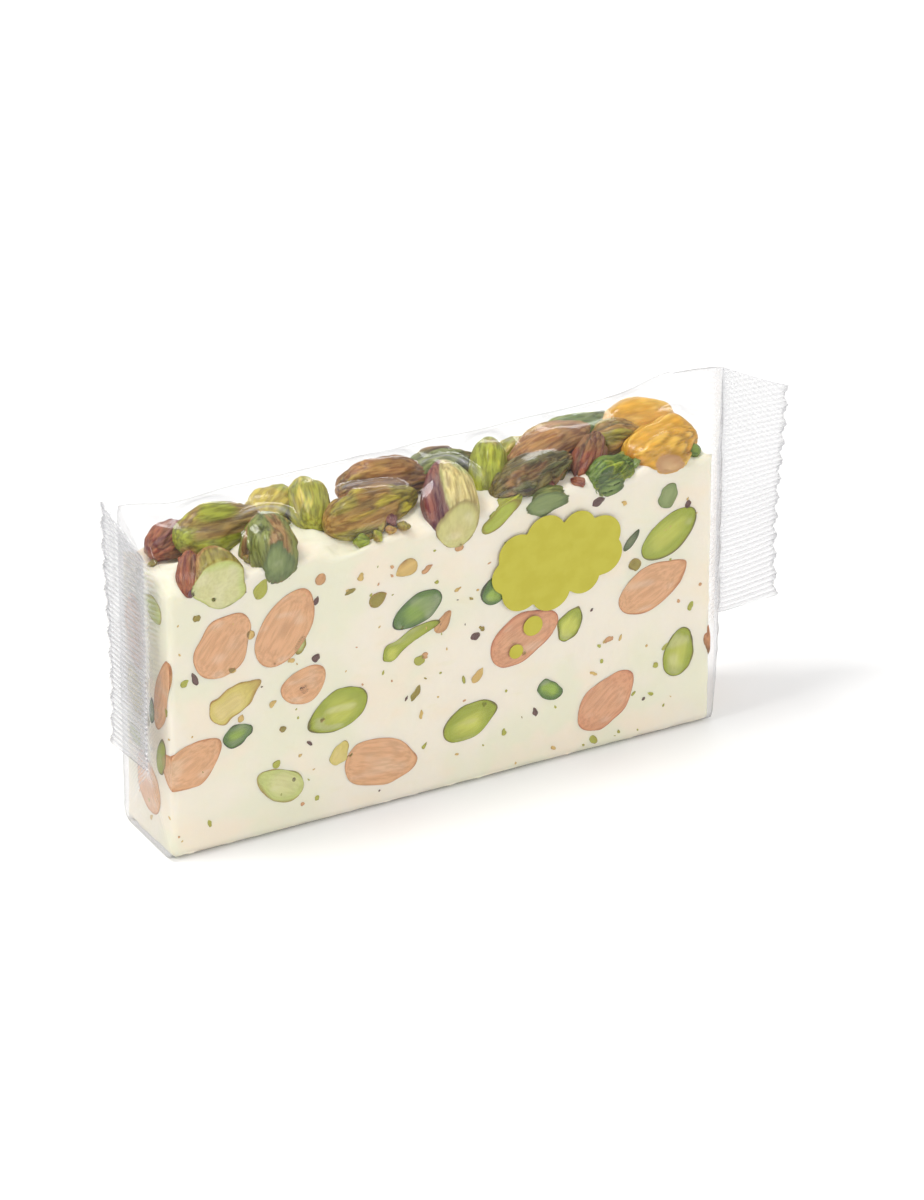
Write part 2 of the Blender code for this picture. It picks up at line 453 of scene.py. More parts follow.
# Each look: two skin colours in patches, a third in streaks, and the cut's rim, ring and middle
SHOWN = {
    "olive": ((150, 138, 16), (168, 124, 46), (196, 186, 32), BROWN, OLIVE, PALE_GREEN),
    "tan": ((188, 130, 66), (146, 94, 40), (172, 148, 40), BROWN, OLIVE, PALE_GREEN),
    "red": ((152, 66, 42), (136, 80, 38), (104, 34, 54), PURPLE, OLIVE, PALE_GREEN),
    "purple": ((100, 24, 60), (132, 48, 56), (84, 22, 52), (168, 152, 92),
               (206, 200, 128), PALE_YELLOW),
    "dark": ((100, 86, 16), (132, 88, 42), (62, 78, 14), DARK, DEEP_GREEN, GREY_GREEN),
    "grey": ((122, 138, 62), (166, 124, 76), (92, 112, 44), (92, 110, 60),
             (128, 146, 84), (152, 166, 106)),
    "green": ((88, 128, 14), (146, 170, 26), (56, 86, 20), DEEP_GREEN, (122, 146, 70),
              (150, 168, 96)),
    "lime": ((156, 168, 14), (152, 120, 36), (192, 198, 40), OLIVE, LIME, PALE_GREEN),
    "yellow": ((202, 182, 36), (166, 170, 28), (224, 204, 84), OLIVE, YELLOW, PALE_YELLOW),
    "gold": ((226, 166, 28), (208, 138, 18), (242, 196, 84), TAN, (224, 184, 130),
             (230, 196, 150)),
    "pale_gold": ((238, 188, 80), (230, 172, 52), (246, 206, 110), TAN, PALE_GOLD, PALE_GOLD),
    "almond": (ALMOND_EDGE, BROWN, TAN, ALMOND_EDGE, ALMOND, ALMOND),
    "rose_almond": (ALMOND_EDGE, BROWN, TAN, (188, 110, 80), (220, 156, 118), (224, 166, 128)),
    "pistachio": (OLIVE, BROWN, GREEN, (100, 92, 36), (156, 168, 38), (202, 206, 84)),
    "dark_pistachio": (DEEP_GREEN, DARK, GREEN, (50, 34, 42), (78, 116, 44), (156, 186, 62)),
    "pale_pistachio": (OLIVE, TAN, PALE_GREEN, (168, 160, 84), (196, 204, 122), (214, 212, 150)),
    "tan_pistachio": (TAN, OLIVE, PALE_YELLOW, (180, 148, 70), (214, 196, 104), (226, 206, 132)),
    "crumb_tan": ((222, 190, 118), TAN, PALE_YELLOW, (216, 180, 104), (226, 196, 124), PALE_YELLOW),
    "crumb_rust": ((214, 164, 112), (190, 128, 92), TAN, (208, 156, 108), ALMOND, ALMOND),
    "crumb_green": ((182, 184, 84), OLIVE, LIME, (172, 172, 66), (186, 188, 84), (198, 198, 104)),
    "crumb_dark": ((104, 70, 66), DARK, PURPLE, (92, 62, 62), (112, 78, 76), (124, 92, 84)),
    "crumb_olive": ((158, 144, 62), TAN, OLIVE, (150, 134, 54), (166, 152, 68), (178, 164, 84)),
}

# The same in linear light
LOOKS = {name: [srgb(*colour) for colour in colours] for name, colours in SHOWN.items()}


def turned(yaw, pitch, roll):
    """Rotation that rolls about x, raises +x by pitch, then turns about z, in degrees."""
    a, b, c = (math.radians(v) for v in (yaw, -pitch, roll))
    about_z = np.array([[math.cos(a), -math.sin(a), 0], [math.sin(a), math.cos(a), 0], [0, 0, 1]])
    about_y = np.array([[math.cos(b), 0, math.sin(b)], [0, 1, 0], [-math.sin(b), 0, math.cos(b)]])
    about_x = np.array([[1, 0, 0], [0, math.cos(c), -math.sin(c)], [0, math.sin(c), math.cos(c)]])
    return about_z @ about_y @ about_x


def kernel(size, look, seed, rows=56, cols=64, point=0.3, bend=0.0, bulb=0.0, wrinkle=0.25, lump=0.09,
           groove=0.35, bare=None):
    """A nut along x, in its own mm, as points, faces and a skin colour for each point.

    size is its length, width and thickness. It is blunt at -x and, by point, sharper at +x. bend
    bows it, bulb swells the blunt end, lump makes it uneven and groove parts its two halves. bare
    is the side, as an angle round x, on which the skin has come off.
    """
    length, width, thick = size
    along = (1.0 - np.cos(np.pi * (np.arange(rows) + 0.5) / rows)) / 2.0
    angle = 2.0 * np.pi * np.arange(cols) / cols
    body = np.sqrt(np.maximum(1.0 - (2.0 * along - 1.0) ** 2, 0.0))
    body = body * (1.0 - point * along**2) * (1.0 + bulb * np.exp(-(((along - 0.1) / 0.14) ** 2)))
    body = body / body.max()

    x = (along[:, None] - 0.5) * length * np.ones((1, cols))
    corners = 1.0 + 0.055 * np.cos(3.0 * angle + seed) + 0.035 * np.cos(5.0 * angle + 2.0 * seed)
    y = body[:, None] * (corners * np.cos(angle))[None] * width / 2.0
    z = body[:, None] * (corners * np.sin(angle))[None] * thick / 2.0
    points = flat_points(x, y, z)
    round_x = np.zeros_like(points)
    reach = np.maximum(np.hypot(points[:, 1], points[:, 2]), 1e-6)
    round_x[:, 1] = points[:, 1] / reach
    round_x[:, 2] = points[:, 2] / reach

    uneven = noise(points, (length * 0.3, width * 0.45, thick * 0.45), seed)
    round_at = np.tile(angle, rows) + 0.5 * noise(points, (4.5, 3.0, 3.0), seed + 0.2)
    ribs = np.sin(round_at * (7 + int(seed) % 4) + seed) + 0.6 * np.sin(round_at * (13 + int(seed) % 5))
    streak = 0.45 * ribs + 1.5 * noise(points, (3.6, 0.9, 0.9), seed + 0.3)
    fold = np.clip(1.0 - np.abs(streak) * 1.3, 0.0, 1.0)
    strength = 0.4 + 0.6 * ramp(noise(points, (6.0, 4.0, 4.0), seed + 1.1), -0.4, 0.3)
    split = np.exp(-((np.sin(angle) / 0.14) ** 2)) * (np.cos(angle) > 0)
    split = (np.ones((rows, 1)) * split[None]).ravel() * np.repeat(ramp(body, 0.35, 0.8), cols)
    taper = np.repeat(np.clip(body * 1.6, 0.0, 1.0), cols)
    push = lump * min(width, thick) * uneven * taper + 0.35 * wrinkle * np.clip(streak, -1.0, 1.0) * taper
    push = push - 1.5 * wrinkle * strength * fold * taper - groove * split * (0.6 + 0.4 * uneven)
    points = points + round_x * push[:, None]
    points[:, 2] += bend * ((points[:, 0] / length) ** 2 * 4.0 - 0.5)

    first, second, third = LOOKS[look][:3]
    patch = ramp(noise(points, (7.0, 3.0, 3.0), seed + 2.3), 0.0, 0.3)
    tint = mix(first, second, patch)
    high = ramp(streak, 0.0, 0.9) * ramp(noise(points, (6.0, 2.6, 2.6), seed + 3.1), -0.3, 0.3)
    tint = mix(tint, third, 0.8 * high)
    # Painted shade: the skin is darkened in the wrinkle folds and in the groove between the two halves.
    deep = np.clip(0.7 * fold * strength + 0.8 * split, 0.0, 1.0)
    tint = tint * (1.0 - 0.7 * deep[:, None] * min(1.0, wrinkle * 4.0))
    if bare is not None:
        turn_to = np.cos(np.tile(angle, rows) - math.radians(bare)) + 0.3 * uneven
        paler = ramp(noise(points, (5.0, 2.0, 2.0), seed + 5.0), -0.2, 0.4)
        flesh = mix(srgb(*PALE_YELLOW), srgb(*PALE_GREEN), paler)
        # The bare flesh is darkened in the wrinkle folds too, as painted shade.
        tint = mix(tint, flesh * (1.0 - 0.25 * fold[:, None]), ramp(turn_to, -0.05, 0.08))
    tint = tint * (1.0 + 0.12 * noise(points, (1.1, 0.5, 0.5), seed + 4.7))[:, None]

    ends = np.array([[-length / 2.0, 0.0, 0.0], [length / 2.0, 0.0, 0.0]])
    ends[:, 2] += bend * 0.5
    points = np.vstack([points, ends])
    tint = np.vstack([tint, tint[:1], tint[-3:-2]])
    faces = tube(rows, cols)
    last = (rows - 1) * cols
    for j in range(cols):
        faces.append((rows * cols, j, (j + 1) % cols))
        faces.append((rows * cols + 1, last + (j + 1) % cols, last + j))
    return points, faces, tint


class Heap:
    """Several nuts gathered into one mesh; shared holds what their kernels have in common."""

    def __init__(self, **shared):
        self.shared = shared
        self.points, self.faces, self.tints, self.cuts, self.grains = [], [], [], [], []
        self.count = 0

    def add(self, at, turn, size, look, seed, **shape):
        """Places a nut and slices it off flush with the slab's cut faces."""
        points, faces, tint = kernel(size, look, seed, **self.shared, **shape)
        self.grains.append(points * np.array([0.13, 1.0, 1.0]) + 7.0 * seed)
        points, over = slice_off(points @ turned(*turn).T + np.array(at, float))
        rim, ring, middle = LOOKS[look][3:]
        flesh = mix(ring, middle, ramp(over, 1.4, 3.2))
        smear = ramp(noise(points, (3.0, 3.0, 1.6), seed + 9.0), 0.1, 0.7) * 0.22 + 0.03
        flesh = mix(flesh, srgb(*CREAM), smear * ramp(over, 0.6, 1.5))
        flesh = flesh * (1.0 + 0.05 * noise(points, (1.4, 1.4, 1.4), seed + 8.0))[:, None]
        face = mix(rim, flesh, ramp(over, 0.2, 0.85))
        tint = mix(tint, face, ramp(over, 0.0, 0.12))
        self.points.append(points)
        self.tints.append(tint)
        self.cuts.append(ramp(over, 0.0, 0.3))
        self.faces.extend([tuple(i + self.count for i in face) for face in faces])
        self.count += len(points)

    def piece(self, name, material, slot):
        tint = np.vstack(self.tints)
        marks = {"cut": np.concatenate(self.cuts), "grain": np.vstack(self.grains)}
        add_piece(name, np.vstack(self.points), self.faces, material, tint, marks)


def slice_off(points):
    """Presses what stands out of the slab's sides and bottom flat, just proud of the nougat.

    Also says how far each point stood out.
    """
    points = points.copy()
    over = np.zeros(len(points))
    half = np.array([SLAB_LENGTH / 2.0, SLAB_DEPTH / 2.0])
    for axis, other in ((1, 0), (0, 1)):
        limit = half[axis] + front_wave(points[:, other], points[:, 2]) + PROUD
        beyond = np.abs(points[:, axis]) - limit
        side = np.sign(points[:, axis])
        points[:, axis] = np.where(beyond > 0.0, side * limit, points[:, axis])
        over = np.maximum(over, beyond)
    floor = SLAB_LOW - PROUD
    beneath = floor - points[:, 2]
    points[:, 2] = np.maximum(points[:, 2], floor)
    return points, np.maximum(np.maximum(over, beneath), 0.0)


def top_nuts(material, gold_material):
    """Whole pistachios on the bar's top, in a front and a back row, and the golden pair."""
    front_y = -SLAB_DEPTH / 2.0
    fine = {"rows": 72, "cols": 84}
    front = Heap(**fine)
    # Cut through at the front edge, with skin left on its upper left
    front.add((-40.3, front_y + 2.2, 48.0), (70, 4, 20), (16, 10.4, 8.4), "pale_pistachio", 1, point=0.2,
              wrinkle=0.08, groove=0.1)
    front.add((-44.6, front_y + 3.4, 49.4), (62, 30, 0), (9, 4.6, 3.8), "red", 2, wrinkle=0.3)
    # Wrinkled and grey-green, standing at the front edge
    front.add((-30.4, front_y + 3.2, 50.6), (84, 66, 0), (12.0, 9.8, 7.6), "grey", 3, wrinkle=0.4,
              lump=0.12, groove=1.1)
    front.add((-10.4, -2.2, 51.2), (4, 5, 70), (17.8, 8.6, 7.8), "olive", 4, wrinkle=0.34)
    # Half purple skin, half pale flesh, standing at the front edge
    front.add((2.4, front_y + 3.2, 50.6), (78, 50, 0), (15.0, 9.6, 8.0), "purple", 5, wrinkle=0.12,
              groove=0.15, bare=160.0)
    front.add((18.4, -3.7, 51.0), (10, 8, 15), (17.2, 8.2, 7.4), "dark", 6, wrinkle=0.5, lump=0.08)
    front.add((29.6, -2.6, 51.2), (40, 34, 80), (10.6, 6.0, 5.4), "red", 7, wrinkle=0.36)
    front.add((31.6, front_y + 2.0, 49.8), (6, 12, 30), (9.2, 6.6, 5.4), "green", 8, wrinkle=0.5, lump=0.12)
    front.add((19.0, front_y + 1.2, 48.2), (3, 2, 0), (9.4, 5.0, 4.6), "grey", 9, wrinkle=0.2)
    front.add((10.6, front_y + 0.9, 48.2), (5, 32, 0), (9.6, 4.2, 3.6), "lime", 10, wrinkle=0.1)
    front.piece("pistachios_front", material, "pistachio")

    back = Heap(**fine)
    back.add((-34.6, 3.4, 51.0), (6, -3, 60), (17.6, 9.6, 8.2), "lime", 11, wrinkle=0.2)
    back.add((-42.6, 6.0, 50.0), (28, 6, 30), (10.4, 6.4, 5.6), "red", 12, wrinkle=0.3)
    back.add((-24.6, 6.2, 51.2), (35, 5, 10), (12.6, 7.6, 7.0), "yellow", 13, wrinkle=0.12)
    back.add((-18.6, 3.6, 51.6), (76, 26, 40), (11.4, 8.0, 7.2), "yellow", 14, wrinkle=0.14)
    back.add((-4.2, 4.6, 51.9), (-8, 3, 20), (17.0, 8.8, 7.6), "tan", 15, wrinkle=0.28)
    back.add((6.8, 5.4, 51.4), (12, -4, 80), (14.6, 7.8, 7.0), "grey", 16, wrinkle=0.4)
    back.add((12.6, 0.4, 51.6), (58, 40, 10), (12.4, 7.6, 6.8), "lime", 17, wrinkle=0.14)
    back.add((25.2, 2.6, 52.4), (9, 9, 25), (17.2, 7.2, 6.4), "tan", 18, wrinkle=0.3)
    back.add((20.4, 6.6, 50.8), (20, 8, 0), (8.8, 5.4, 5.0), "yellow", 19, wrinkle=0.1)
    back.add((33.4, 6.4, 51.6), (4, 2, 45), (14.8, 7.4, 6.8), "green", 20, wrinkle=0.3)
    back.add((36.6, 0.6, 51.6), (-22, 12, 90), (10.2, 6.6, 6.0), "olive", 21, wrinkle=0.3)
    back.piece("pistachios_back", material, "pistachio")

    gold = Heap(**fine)
    gold.add((42.6, -3.6, 50.8), (8, 4, 20), (14.6, 9.6, 8.8), "gold", 23, wrinkle=0.22, point=0.1,
             lump=0.1, groove=0.5)
    gold.add((42.8, 4.6, 51.6), (-6, 3, 80), (13.4, 9.2, 8.4), "pale_gold", 24, wrinkle=0.05, point=0.1,
             groove=0.1)
    gold.piece("golden_nuts", gold_material, "pistachio")
    return [front, back, gold]


def front_sections(material, almond_material):
    """The nuts that the front cut has sliced through, each set by its place, tilt and outline."""
    y = SECTION_SINK - SLAB_DEPTH / 2.0
    almonds = Heap(wrinkle=0.05, groove=0.0)
    for seed, (x, z, tilt, size, look, shape) in enumerate((
        (-40.4, 37.0, 52, (12.2, 9.4), "almond", {"point": 0.22}),
        (-29.2, 37.4, 58, (14.4, 9.2), "almond", {"point": 0.28, "lump": 0.06}),
        (-26.0, 26.2, 18, (8.4, 6.6), "almond", {"bend": 1.1, "point": 0.1}),
        (14.7, 24.6, 24, (13.4, 8.8), "rose_almond", {"point": 0.2}),
        (38.9, 28.4, 24, (13.8, 8.6), "almond", {"point": 0.42}),
        (-46.4, 17.0, 30, (12.0, 7.6), "almond", {"point": 0.3}),
        (-12.0, 8.4, -12, (13.6, 8.6), "almond", {"point": 0.35}),
        (30.2, 9.0, 40, (12.6, 8.4), "rose_almond", {"point": 0.3}),
    ), 31):
        deep = (size[0], 7.0, size[1])
        almonds.add((x, y, z), (0, tilt, 0), deep, look, seed, **shape)
    almonds.piece("almonds_front", almond_material, "almond")

    nuts = Heap(wrinkle=0.08, groove=0.0)
    for seed, (x, z, tilt, size, look, shape) in enumerate((
        (-38.3, 26.6, 28, (10.4, 7.4), "tan_pistachio", {"point": 0.55, "bulb": 0.5, "lump": 0.16}),
        (-38.1, 20.2, 14, (5.6, 3.8), "dark_pistachio", {"lump": 0.1}),
        (-20.0, 19.8, 200, (11.6, 7.2), "pistachio", {"point": 0.38, "lump": 0.08}),
        (-5.3, 34.6, 205, (9.8, 5.4), "dark_pistachio", {"point": 0.2, "lump": 0.06}),
        (-6.4, 29.6, 24, (11.6, 3.4), "pistachio", {"bulb": 1.1, "bend": -0.7, "point": 0.1}),
        (8.9, 34.8, 70, (5.4, 4.4), "dark_pistachio", {"lump": 0.12}),
        (23.3, 25.0, 62, (6.6, 4.8), "pistachio", {"point": 0.6, "lump": 0.14}),
        (41.8, 37.2, 34, (11.8, 6.8), "pistachio", {"point": 0.12, "lump": 0.02}),
        (41.6, 44.2, 60, (4.6, 3.6), "grey", {"lump": 0.16}),
        (34.7, 37.6, 50, (4.4, 1.6), "dark", {"lump": 0.1}),
        (-26.6, 33.6, 70, (3.4, 2.0), "olive", {"lump": 0.12}),
        (4.6, 11.6, 18, (10.6, 6.6), "pistachio", {"point": 0.3, "lump": 0.06}),
        (-30.6, 9.2, 150, (9.4, 6.2), "pale_pistachio", {"point": 0.3, "lump": 0.08}),
        (44.0, 14.6, 78, (9.0, 6.0), "pistachio", {"point": 0.25, "lump": 0.06}),
        (19.6, 13.6, -30, (5.2, 3.6), "dark_pistachio", {"lump": 0.12}),
        (-19.6, 12.0, 60, (4.6, 3.0), "tan_pistachio", {"lump": 0.16}),
    ), 41):
        deep = (size[0], 6.0, size[1])
        nuts.add((x, y, z), (0, tilt, 0), deep, look, seed, **shape)
    nuts.piece("pistachios_cut", material, "pistachio")


def other_sections(material, almond_material):
    """Sliced nuts on the back, the two ends and the bottom, strewn evenly by chance."""
    rng = np.random.default_rng(29)
    half_length, half_depth = SLAB_LENGTH / 2.0, SLAB_DEPTH / 2.0
    coarse = {"rows": 34, "cols": 40, "wrinkle": 0.06, "groove": 0.0}
    almonds, nuts = Heap(**coarse), Heap(**coarse)
    looks = ("pistachio", "pale_pistachio", "dark_pistachio", "tan_pistachio")

    def strew(at, yaw, tilt):
        seed = rng.uniform(60, 200)
        if rng.random() < ALMOND_SHARE:
            size = (rng.uniform(10, 14), 6.0, rng.uniform(7.5, 9.2))
            almonds.add(at, (yaw, tilt, 0), size, "almond", seed, point=rng.uniform(0.15, 0.4))
        else:
            size = (rng.uniform(6, 12), 5.0, rng.uniform(4, 7))
            look = looks[rng.integers(len(looks))]
            nuts.add(at, (yaw, tilt, 0), size, look, seed, point=rng.uniform(0.1, 0.5), lump=0.08)

    taken = []
    for _ in range(NUT_TRIES):
        x, z = rng.uniform(-43.0, 43.0), rng.uniform(6.5, 42.5)
        if all(math.hypot((x - a) / 1.1, z - b) > NUT_SPACING for a, b in taken):
            taken.append((x, z))
            strew((x, half_depth - SECTION_SINK, z), 0, rng.uniform(0, 180))
    for row in range(4):
        y = (-2.2 if row % 2 else 2.6) + rng.uniform(-1.2, 1.2)
        at = (half_length - SECTION_SINK, y, 7.0 + 10.6 * row + rng.uniform(-1.5, 1.5))
        strew(at, 90, rng.uniform(40, 140))
    left = SECTION_SINK - half_length
    for y, z, tilt, size in (
        (-5.4, 29.0, 108, (15.0, 4.6)),
        (3.6, 36.4, 84, (13.4, 7.4)),
        (0.4, 10.4, 60, (11.0, 7.8)),
    ):
        almonds.add((left, y, z), (90, tilt, 0), (size[0], 6.0, size[1]), "almond", z, point=0.3)
    for y, z, tilt, size, look in (
        (-2.6, 43.4, 20, (6.4, 4.2), "pale_pistachio"),
        (4.4, 25.4, 70, (9.0, 5.6), "tan_pistachio"),
        (-4.6, 17.4, 100, (7.0, 3.6), "pistachio"),
        (-1.4, 24.4, 96, (5.0, 1.8), "dark_pistachio"),
        (5.0, 17.0, 30, (4.6, 3.6), "pistachio"),
    ):
        nuts.add((left, y, z), (90, tilt, 0), (size[0], 4.0, size[1]), look, z + 3.0, lump=0.1)
    almonds.piece("almonds_cut_other", almond_material, "almond")
    nuts.piece("pistachios_cut_other", material, "pistachio")


def crumbs(material):
    """Chopped bits among the nuts on top, and fine crumbs in the cut faces."""
    rng = np.random.default_rng(5)
    looks = ("crumb_tan",) * 4 + ("crumb_green",) * 4 + ("crumb_rust",) * 2 + ("crumb_olive", "crumb_dark")
    y = SPECK_SINK - SLAB_DEPTH / 2.0
    specks = Heap(rows=12, cols=14, wrinkle=0.03, lump=0.22, groove=0.0)

    def speck(at, yaw, size, look, tilt):
        point = rng.uniform(0.0, 0.7)
        outline = (size, 1.2, size * rng.uniform(0.4, 0.9))
        specks.add(at, (yaw, tilt, 0), outline, look, rng.uniform(0, 300), point=point)

    # Those that stand out on the front
    for x, z, size, look, tilt in (
        (-7.2, 42.6, 4.2, "crumb_tan", 200),
        (-3.4, 41.7, 2.4, "crumb_rust", 30),
        (-17.5, 41.0, 2.2, "crumb_olive", 20),
        (-12.4, 38.4, 3.6, "crumb_olive", 24),
        (-22.8, 44.6, 2.2, "crumb_rust", 60),
        (-23.6, 40.9, 1.7, "crumb_dark", 70),
        (-45.6, 32.2, 2.6, "crumb_dark", 110),
        (-45.0, 43.0, 1.5, "crumb_olive", 0),
        (-23.8, 30.6, 1.6, "crumb_dark", 40),
        (-4.8, 25.4, 2.2, "crumb_green", 40),
        (-5.6, 19.4, 3.2, "crumb_olive", 60),
        (6.0, 19.8, 3.2, "crumb_tan", 50),
        (-0.4, 31.4, 4.6, "crumb_rust", 52),
        (-33.4, 45.4, 3.8, "crumb_green", 60),
        (30.6, 20.2, 1.8, "crumb_rust", 20),
        (46.2, 22.6, 1.8, "crumb_green", 70),
        (35.4, 32.9, 2.4, "crumb_olive", -40),
        (28.4, 46.2, 2.6, "crumb_dark", 20),
    ):
        speck((x, y, z), 0, size, look, tilt)
    # Fine crumbs over the whole front and back
    for side in (-1.0, 1.0):
        for _ in range(FACE_CRUMBS):
            x, z = rng.uniform(-49, 49), rng.uniform(1.5, 46.5)
            size = 0.45 + 1.5 * rng.random() ** 2.5
            look = looks[rng.integers(len(looks))]
            speck((x, side * (SLAB_DEPTH / 2.0 - SPECK_SINK), z), 0, size, look, rng.uniform(0, 180))
    for side in (-1.0, 1.0):
        for _ in range(END_CRUMBS):
            size = 0.5 + 1.4 * rng.random() ** 2
            look = looks[rng.integers(len(looks))]
            at = (side * (SLAB_LENGTH / 2.0 - SPECK_SINK), rng.uniform(-7.5, 7.5), rng.uniform(1.5, 46.0))
            speck(at, 90, size, look, rng.uniform(0, 180))
    specks.piece("crumbs_cut", material, "pistachio")

    bits = Heap(rows=20, cols=24, wrinkle=0.12, lump=0.2, groove=0.0, point=0.4)
    bit_looks = ("green", "lime", "tan", "olive", "yellow", "purple", "red", "grey")
    spots = [(-14.5, -6.6), (-11.8, -7.2), (-9.4, -6.9), (-7.0, -7.0), (-12.9, -5.4), (-8.4, -5.4)]
    spots += [(25.2, -7.0), (34.6, -5.0), (36.4, -6.4), (35.4, -3.6), (33.0, -4.0), (-47.0, 3.4)]
    for _ in range(LOOSE_BITS):
        spots.append((rng.uniform(-48, 48), rng.uniform(-6.5, 7.5)))
    for i, (x, depth) in enumerate(spots):
        size = rng.uniform(1.6, 3.8)
        height = float(slab_top(np.array([x]), np.array([depth]))[0]) + 0.22 * size
        turn = (rng.uniform(0, 180), rng.uniform(-25, 25), rng.uniform(0, 180))
        look = bit_looks[i % len(bit_looks)]
        bits.add((x, depth, height), turn, (size, size * 0.75, size * 0.6), look, 300.0 + i)
    bits.piece("pistachio_bits", material, "pistachio")
    return [bits]


# ---------------------------------------------------------------- the film


def shoulder_rise(across):
    """How far the film has risen from its front edge to its crest, from 0 to 1, as in the CAD."""
    shoulder = (SHOULDER_HEIGHT - FRONT_HEIGHT) / (CREST_HEIGHT - FRONT_HEIGHT)
    steep = shoulder * np.sin(0.5 * np.pi * np.minimum(across / SHOULDER_SHARE, 1.0))
    slow = shoulder + (1.0 - shoulder) * (across - SHOULDER_SHARE) / (1.0 - SHOULDER_SHARE)
    return np.where(across < SHOULDER_SHARE, steep, slow)


class Drape:
    """The height at which the film lies over the nuts, on a grid over the bar's top."""

    STEP = 0.5
    CLEAR = 0.22

    def __init__(self, heaps):
        self.x = np.arange(-52.0, 52.01, self.STEP)
        self.y = np.arange(-9.5, 9.51, self.STEP)
        tops = slab_top(self.x[:, None], self.y[None]).reshape(len(self.x), len(self.y))
        for heap in heaps:
            for points in heap.points:
                i = np.clip(((points[:, 0] - self.x[0]) / self.STEP).round().astype(int), 0, len(self.x) - 1)
                j = np.clip(((points[:, 1] - self.y[0]) / self.STEP).round().astype(int), 0, len(self.y) - 1)
                np.maximum.at(tops, (i, j), points[:, 2])
        across = np.clip((self.y + BODY_DEPTH / 2.0) / BODY_DEPTH, 0.0, 1.0)
        base = FRONT_HEIGHT + (CREST_HEIGHT - FRONT_HEIGHT) * shoulder_rise(across)
        sag = 0.5 * noise(flat_points(self.x[:, None], self.y[None], 0.0), (9.0, 6.0, 9.0), 14.0)
        held = self.widen(self.widen(tops)) + self.CLEAR
        self.height = np.maximum(base[None] - 0.5 + sag.reshape(tops.shape), held)
        for _ in range(4):
            self.height = np.maximum(self.soften(self.height), held)
        self.height = self.soften(self.height)

    @staticmethod
    def widen(grid):
        """Each cell takes the highest of itself and its neighbours."""
        p = np.pad(grid, 1, mode="edge")
        rows = np.maximum(np.maximum(p[:-2], p[1:-1]), p[2:])
        return np.maximum(np.maximum(rows[:, :-2], rows[:, 1:-1]), rows[:, 2:])

    @staticmethod
    def soften(grid):
        p = np.pad(grid, 1, mode="edge")
        rows = (p[:-2] + 2.0 * p[1:-1] + p[2:]) / 4.0
        return (rows[:, :-2] + 2.0 * rows[:, 1:-1] + rows[:, 2:]) / 4.0

    def at(self, x, y):
        """The film's height at one x and an array of y."""
        column = np.clip((x - self.x[0]) / self.STEP, 0, len(self.x) - 1.001)
        i = int(column)
        near = self.height[i] * (1.0 - column + i) + self.height[i + 1] * (column - i)
        return np.interp(y, self.y, near)


FILM_SIDE = 176
FILM_TOP_STEPS = 26
FILM_BOTTOM_STEPS = 10
FILM_STEP = 1.15
GUSSET_LOOPS = 14
FIN_LOOPS = 13
RIB_PITCH = 0.95
RIB_DEPTH = 0.2
FIN_HALF = 0.09
CORNER = 0.9
EAR_START = 40.0
EAR_LIFT = 1.6


def film_front(x, z):
    """How far the film's flat walls stand in or out, in mm: taut waves, and folds near the ends."""
    at = flat_points(x, 0.0, z)
    wave = 0.13 * noise(at, (16.0, 9.0, 12.0), 21.0) + 0.05 * noise(at, (5.0, 9.0, 7.0), 22.0)
    near_end = ramp(np.abs(at[:, 0]), 34.0, 50.0)
    slant = at[:, 2] * 0.55 - np.abs(at[:, 0])
    fold = np.abs(noise(flat_points(slant, 0.0, at[:, 2] * 0.3), (3.4, 9.0, 7.0), 23.0))
    return wave - 0.32 * near_end * np.clip(0.4 - fold, 0.0, 0.4)


def sealed(height):
    """1 on the back's lap seam and 0 above and below it."""
    return ramp(height, SEAM_LOW, SEAM_LOW + 0.5) - ramp(height, SEAM_HIGH - 0.5, SEAM_HIGH)


